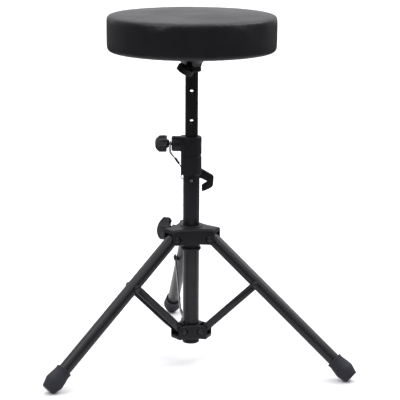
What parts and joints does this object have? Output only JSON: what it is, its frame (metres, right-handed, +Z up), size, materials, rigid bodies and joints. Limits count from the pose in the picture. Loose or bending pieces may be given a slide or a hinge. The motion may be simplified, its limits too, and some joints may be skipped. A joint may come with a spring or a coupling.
{
  "type": "drum throne",
  "caption": "Round padded drum throne on a height-adjustable post, with a folding tripod base, wing screws, a tethered lock pin and rubber feet.",
  "frame": {"origin": "on the floor at the centre of the footprint box of the three spread feet; the column's axis stands at y = -73 mm", "axes": "+Z up the column; +Y towards the rear foot; +X to the right as seen from the front"},
  "size_m": [0.536, 0.4673, 0.6205],
  "materials": {
    "powder_coat": "satin black powder coat with a fine orange-peel texture",
    "moulded_plastic": "moulded black nylon with a light spark texture",
    "rubber": "matt black moulded rubber",
    "seat_vinyl": "black grained upholstery vinyl, low sheen",
    "foam": "cream polyurethane foam, hidden",
    "plywood": "raw plywood, hidden",
    "lining_cloth": "black non-woven lining cloth",
    "zinc_steel": "bright zinc-plated steel",
    "black_rivet": "black oxide steel, worn brighter on the rims",
    "brass": "plain machined brass",
    "cord_sheath": "thin black braided cord"
  },
  "bodies": {
    "column": {"outer_tube": "powder_coat", "height_collar": "moulded_plastic", "height_insert": "brass", "lower_hub": "moulded_plastic", "column_end_cap": "moulded_plastic", "stop_ring": "rubber", "lower_rivet_rear": "black_rivet", "lower_rivet_left": "black_rivet", "lower_rivet_right": "black_rivet", "tether_cord": "cord_sheath"},
    "seat_post": {"inner_post": "powder_coat", "post_plug": "moulded_plastic"},
    "seat": {"seat_cover": "seat_vinyl", "seat_foam": "foam", "seat_board": "plywood", "seat_lining": "lining_cloth", "seat_bracket": "powder_coat", "seat_bolt_1": "zinc_steel", "seat_bolt_2": "zinc_steel", "seat_bolt_3": "zinc_steel", "seat_bolt_4": "zinc_steel", "seat_insert": "brass"},
    "seat_wing_screw": {"seat_knob": "moulded_plastic", "seat_screw": "zinc_steel"},
    "height_wing_screw": {"height_knob": "moulded_plastic", "height_screw": "zinc_steel"},
    "lock_pin": {"lock_pin_shank": "zinc_steel", "lock_pin_nose": "zinc_steel", "lock_pin_handle": "moulded_plastic"},
    "sliding_hub": {"leg_hub": "moulded_plastic", "hub_insert": "brass", "hub_rivet_rear": "black_rivet", "hub_rivet_left": "black_rivet", "hub_rivet_right": "black_rivet"},
    "hub_wing_screw": {"hub_knob": "moulded_plastic", "hub_screw": "zinc_steel"},
    "leg_rear": {"leg_tube_rear": "powder_coat", "brace_pin_rear": "black_rivet", "foot_boot_rear": "rubber"},
    "leg_left": {"leg_tube_left": "powder_coat", "brace_pin_left": "black_rivet", "foot_boot_left": "rubber"},
    "leg_right": {"leg_tube_right": "powder_coat", "brace_pin_right": "black_rivet", "foot_boot_right": "rubber"},
    "brace_rear": {"brace_bar_rear_a": "powder_coat", "brace_bar_rear_b": "powder_coat", "brace_head_rear_a": "black_rivet", "brace_head_rear_b": "black_rivet"},
    "brace_left": {"brace_bar_left_a": "powder_coat", "brace_bar_left_b": "powder_coat", "brace_head_left_a": "black_rivet", "brace_head_left_b": "black_rivet"},
    "brace_right": {"brace_bar_right_a": "powder_coat", "brace_bar_right_b": "powder_coat", "brace_head_right_a": "black_rivet", "brace_head_right_b": "black_rivet"}
  },
  "joints": [
    {"name": "seat_height", "type": "slide", "parent": "column", "child": "seat_post", "axis": [0, 0, 1], "range_m": [-0.1032, 0]},
    {"name": "seat_swivel", "type": "hinge", "parent": "seat_post", "child": "seat", "pos_m": [0, -0.073, 0.53], "axis": [0, 0, 1], "continuous": true},
    {"name": "seat_knob_turn", "type": "hinge", "parent": "seat", "child": "seat_wing_screw", "pos_m": [-0.01057, -0.09675, 0.526], "axis": [-0.4067, -0.9135, 0], "range_deg": [0, 360]},
    {"name": "height_knob_turn", "type": "hinge", "parent": "column", "child": "height_wing_screw", "pos_m": [-0.03815, -0.06784, 0.3926], "axis": [-0.991, 0.134, 0], "range_deg": [0, 360]},
    {"name": "lock_pin_pull", "type": "slide", "parent": "column", "child": "lock_pin", "axis": [0.134, 0.991, 0], "range_m": [0, 0.038]},
    {"name": "hub_slide", "type": "slide", "parent": "column", "child": "sliding_hub", "axis": [0, 0, 1], "range_m": [0, 0.074]},
    {"name": "hub_knob_turn", "type": "hinge", "parent": "sliding_hub", "child": "hub_wing_screw", "pos_m": [-0.03377, -0.0535, 0.2365], "axis": [-0.866, 0.5, 0], "range_deg": [0, 360]},
    {"name": "leg_fold_rear", "type": "hinge", "parent": "sliding_hub", "child": "leg_rear", "pos_m": [0, -0.033, 0.2284], "axis": [-1, 0, 0], "range_deg": [0, 37.83]},
    {"name": "leg_fold_left", "type": "hinge", "parent": "sliding_hub", "child": "leg_left", "pos_m": [-0.03464, -0.093, 0.2284], "axis": [0.5, -0.866, 0], "range_deg": [0, 37.83]},
    {"name": "leg_fold_right", "type": "hinge", "parent": "sliding_hub", "child": "leg_right", "pos_m": [0.03464, -0.093, 0.2284], "axis": [0.5, 0.866, 0], "range_deg": [0, 37.83]},
    {"name": "brace_fold_rear", "type": "hinge", "parent": "column", "child": "brace_rear", "pos_m": [0, -0.049, 0.0587], "axis": [1, 0, 0], "range_deg": [0, 30.14]},
    {"name": "brace_fold_left", "type": "hinge", "parent": "column", "child": "brace_left", "pos_m": [-0.02079, -0.085, 0.0587], "axis": [-0.5, 0.866, 0], "range_deg": [0, 30.14]},
    {"name": "brace_fold_right", "type": "hinge", "parent": "column", "child": "brace_right", "pos_m": [0.02079, -0.085, 0.0587], "axis": [-0.5, -0.866, 0], "range_deg": [0, 30.14]}
  ],
  "couplings": [
    {"joint": "leg_fold_rear", "follows": "hub_slide", "rad_per_m": 8.8054},
    {"joint": "leg_fold_left", "follows": "hub_slide", "rad_per_m": 8.8054},
    {"joint": "leg_fold_right", "follows": "hub_slide", "rad_per_m": 8.8054},
    {"joint": "brace_fold_rear", "follows": "hub_slide", "rad_per_m": 6.9896},
    {"joint": "brace_fold_left", "follows": "hub_slide", "rad_per_m": 6.9896},
    {"joint": "brace_fold_right", "follows": "hub_slide", "rad_per_m": 6.9896}
  ]
}
